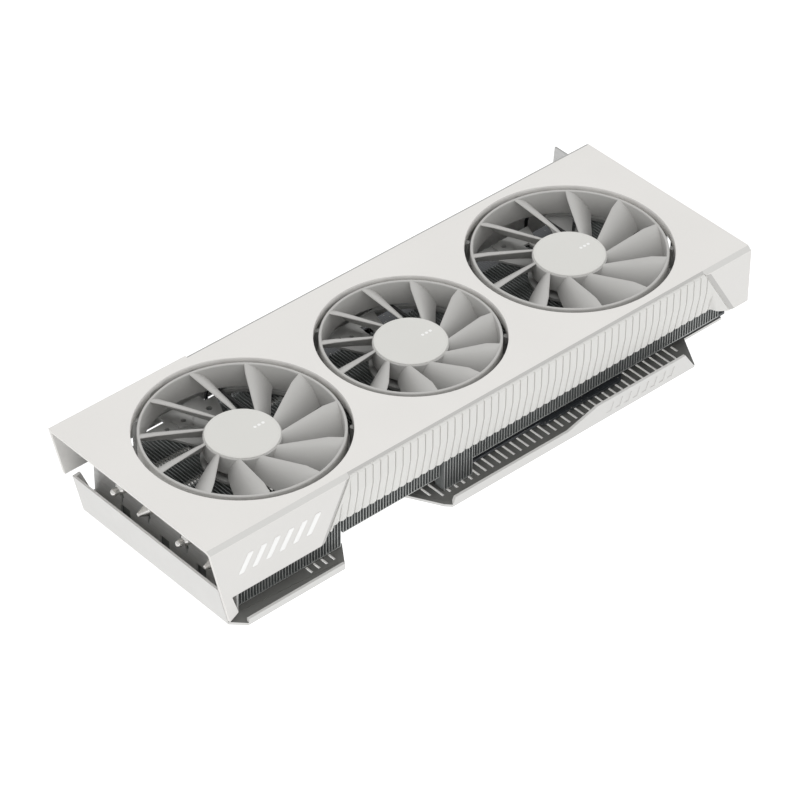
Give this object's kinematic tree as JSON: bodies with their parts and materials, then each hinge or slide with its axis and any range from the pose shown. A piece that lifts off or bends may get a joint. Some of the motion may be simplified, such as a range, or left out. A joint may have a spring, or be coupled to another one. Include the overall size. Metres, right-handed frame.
{
  "type": "graphics card",
  "caption": "Long graphics card with a fan shroud over a finned heat-pipe cooler, spinning ringed fans, a circuit board with an edge connector, a backplate and a rear I/O bracket.",
  "frame": {"origin": "point on the backplate's outer face below the middle fan's axis", "axes": "+X along the card towards the I/O bracket, +Y towards the edge connector, +Z from the backplate to the fans"},
  "size_m": [0.3645, 0.1494, 0.0513],
  "materials": {
    "shroud_white": "matt white paint",
    "panel_white": "matt, ribbed",
    "backplate_white": "matt white paint",
    "insulating_film": "matt dark grey",
    "board_white": "solder resist",
    "gold_contacts": "gold plate",
    "chip_black": "moulded",
    "die_silicon": "polished silicon",
    "package_green": "laminate",
    "inductor_grey": "pressed ferrite",
    "capacitor_can": "satin",
    "thermal_pad": "soft",
    "nickel": "nickel plate",
    "fin_dark": "dark coated",
    "bracket_steel": "satin",
    "screw_steel": "satin",
    "shell_steel": "nickel plate",
    "connector_black": "moulded",
    "rotor_white": "satin moulded",
    "cap_white": "satin",
    "mount_grey": "moulded",
    "magnet_black": "bonded ferrite",
    "shaft_steel": "ground",
    "bearing_bronze": "sintered bronze",
    "core_steel": "laminated",
    "winding_copper": "enamelled copper",
    "cable_black": "sleeved"
  },
  "bodies": {
    "card": {"fan_shroud": "shroud_white", "side_panel_ribbed": "panel_white", "backplate": "backplate_white", "backplate_film": "insulating_film", "backplate_screws": "screw_steel", "pcb": "board_white", "pcie_contacts": "gold_contacts", "gpu_substrate": "package_green", "gpu_die": "die_silicon", "memory_chips": "chip_black", "vrm_inductors": "inductor_grey", "vrm_mosfets": "chip_black", "capacitors": "capacitor_can", "thermal_pads": "thermal_pad", "fan_headers": "connector_black", "power_socket_1": "connector_black", "power_socket_2": "connector_black", "power_pins": "nickel", "heat_pipes": "nickel", "fin_stack_tail": "fin_dark", "fin_stack_power": "fin_dark", "fin_stack_main": "fin_dark", "fin_stack_deep": "fin_dark", "fin_end_plate": "fin_dark", "cold_plate": "nickel", "gpu_clamp": "bracket_steel", "clamp_screws": "screw_steel", "io_bracket": "bracket_steel", "bracket_screws": "screw_steel", "displayport_sockets": "shell_steel", "hdmi_socket": "shell_steel", "shroud_screws": "screw_steel", "fan_1_mount": "mount_grey", "fan_1_bearing": "bearing_bronze", "fan_1_stator": "core_steel", "fan_1_windings": "winding_copper", "fan_1_cable": "cable_black", "fan_2_mount": "mount_grey", "fan_2_bearing": "bearing_bronze", "fan_2_stator": "core_steel", "fan_2_windings": "winding_copper", "fan_2_cable": "cable_black", "fan_3_mount": "mount_grey", "fan_3_bearing": "bearing_bronze", "fan_3_stator": "core_steel", "fan_3_windings": "winding_copper", "fan_3_cable": "cable_black"},
    "fan_1": {"fan_1_rotor": "rotor_white", "fan_1_hub_cap": "cap_white", "fan_1_magnet": "magnet_black", "fan_1_shaft": "shaft_steel"},
    "fan_2": {"fan_2_rotor": "rotor_white", "fan_2_hub_cap": "cap_white", "fan_2_magnet": "magnet_black", "fan_2_shaft": "shaft_steel"},
    "fan_3": {"fan_3_rotor": "rotor_white", "fan_3_hub_cap": "cap_white", "fan_3_magnet": "magnet_black", "fan_3_shaft": "shaft_steel"}
  },
  "joints": [
    {"name": "fan_1_spin", "type": "hinge", "parent": "card", "child": "fan_1", "pos_m": [-0.10686, 0, 0.0408], "axis": [0, 0, 1], "continuous": true},
    {"name": "fan_2_spin", "type": "hinge", "parent": "card", "child": "fan_2", "pos_m": [0, 0, 0.0408], "axis": [0, 0, 1], "continuous": true},
    {"name": "fan_3_spin", "type": "hinge", "parent": "card", "child": "fan_3", "pos_m": [0.10686, 0, 0.0408], "axis": [0, 0, 1], "continuous": true}
  ]
}
